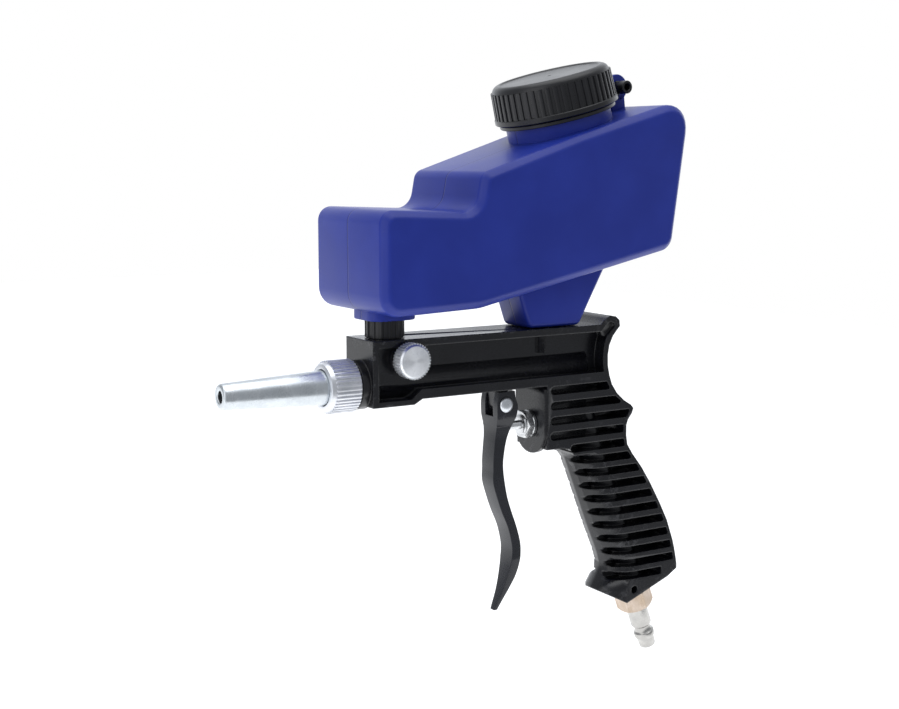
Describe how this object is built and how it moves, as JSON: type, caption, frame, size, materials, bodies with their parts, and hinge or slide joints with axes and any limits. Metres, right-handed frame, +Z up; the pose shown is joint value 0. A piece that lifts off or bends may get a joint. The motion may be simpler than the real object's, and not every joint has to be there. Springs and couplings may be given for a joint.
{
  "type": "sandblasting gun",
  "caption": "Hand-held gravity-feed sandblasting gun: tilted blue hopper with screw cap on a ribbed black body, with trigger, straight nozzle and air plug.",
  "frame": {"origin": "centre of the palm on the hand grip, on the gun's middle plane", "axes": "+Z up with the nozzle level, the nozzle points toward -X, +Y across the gun away from the thumb screw"},
  "size_m": [0.2659, 0.0714, 0.3261],
  "materials": {
    "satin_black": "satin black paint on a light alloy casting",
    "trigger_grey": "satin dark grey paint on a light alloy casting",
    "blue_plastic": "blue blow-moulded plastic, semi-gloss",
    "black_plastic": "black moulded plastic",
    "bright_aluminium": "bright turned aluminium",
    "bright_steel": "polished plated steel",
    "zinc_steel": "zinc plated steel",
    "pale_brass": "pale machined brass",
    "nickel": "nickel plated steel",
    "black_rubber": "black rubber",
    "white_nylon": "white nylon"
  },
  "bodies": {
    "gun": {"gun_body": "satin_black", "hopper": "blue_plastic", "hopper_spout": "black_plastic", "cap_tether": "black_plastic", "air_jet": "pale_brass", "air_jet_ring": "black_rubber", "trigger_pin": "zinc_steel", "trigger_pin_clip": "zinc_steel", "valve_gland": "nickel", "valve_stem_seal": "black_rubber", "valve_seat": "pale_brass", "inlet_washer": "pale_brass", "inlet_fitting": "pale_brass", "quick_plug": "nickel", "nozzle": "bright_steel", "nozzle_seal": "black_rubber"},
    "nut_carrier": {"nut_washer": "white_nylon"},
    "nut": {"nozzle_nut": "bright_aluminium"},
    "liner_carrier": {"cap_liner": "white_nylon"},
    "screw_cap": {"cap": "black_plastic"},
    "washer_carrier": {"lock_washer": "white_nylon"},
    "thumb_screw": {"lock_knob": "bright_aluminium", "lock_screw": "zinc_steel"},
    "trigger_lever": {"trigger": "trigger_grey"},
    "valve_plunger": {"valve_stem": "nickel", "valve_poppet": "black_rubber"}
  },
  "joints": [
    {"name": "trigger_pull", "type": "hinge", "parent": "gun", "child": "trigger_lever", "pos_m": [-0.0741, 0, 0.0637], "axis": [0, -1, 0], "range_deg": [0, 16], "stiffness_Nm_per_rad": 1, "springref_deg": -5.73},
    {"name": "valve_push", "type": "slide", "parent": "gun", "child": "valve_plunger", "axis": [1, 0, 0], "range_m": [0, 0.003]},
    {"name": "nut_slide", "type": "slide", "parent": "gun", "child": "nut_carrier", "axis": [-1, 0, 0], "range_m": [0, 0.00601]},
    {"name": "nut_turn", "type": "hinge", "parent": "nut_carrier", "child": "nut", "pos_m": [-0.1678, 0, 0.08], "axis": [-1, 0, 0], "range_deg": [0, 1440]},
    {"name": "cap_lift", "type": "slide", "parent": "gun", "child": "liner_carrier", "axis": [-0.2622, 0, 0.965], "range_m": [0, 0.00801]},
    {"name": "cap_turn", "type": "hinge", "parent": "liner_carrier", "child": "screw_cap", "pos_m": [-0.0358, 0, 0.2038], "axis": [-0.2622, 0, 0.965], "range_deg": [0, 720]},
    {"name": "knob_slide", "type": "slide", "parent": "gun", "child": "washer_carrier", "axis": [0, -1, 0], "range_m": [0, 0.00401]},
    {"name": "knob_turn", "type": "hinge", "parent": "washer_carrier", "child": "thumb_screw", "pos_m": [-0.1366, -0.015, 0.0925], "axis": [0, -1, 0], "range_deg": [0, 1440]}
  ],
  "couplings": [
    {"joint": "valve_push", "follows": "trigger_pull", "m_per_rad": 0.0106},
    {"joint": "nut_slide", "follows": "nut_turn", "m_per_rad": 0.00023873},
    {"joint": "cap_lift", "follows": "cap_turn", "m_per_rad": 0.00063662},
    {"joint": "knob_slide", "follows": "knob_turn", "m_per_rad": 0.00015915}
  ]
}
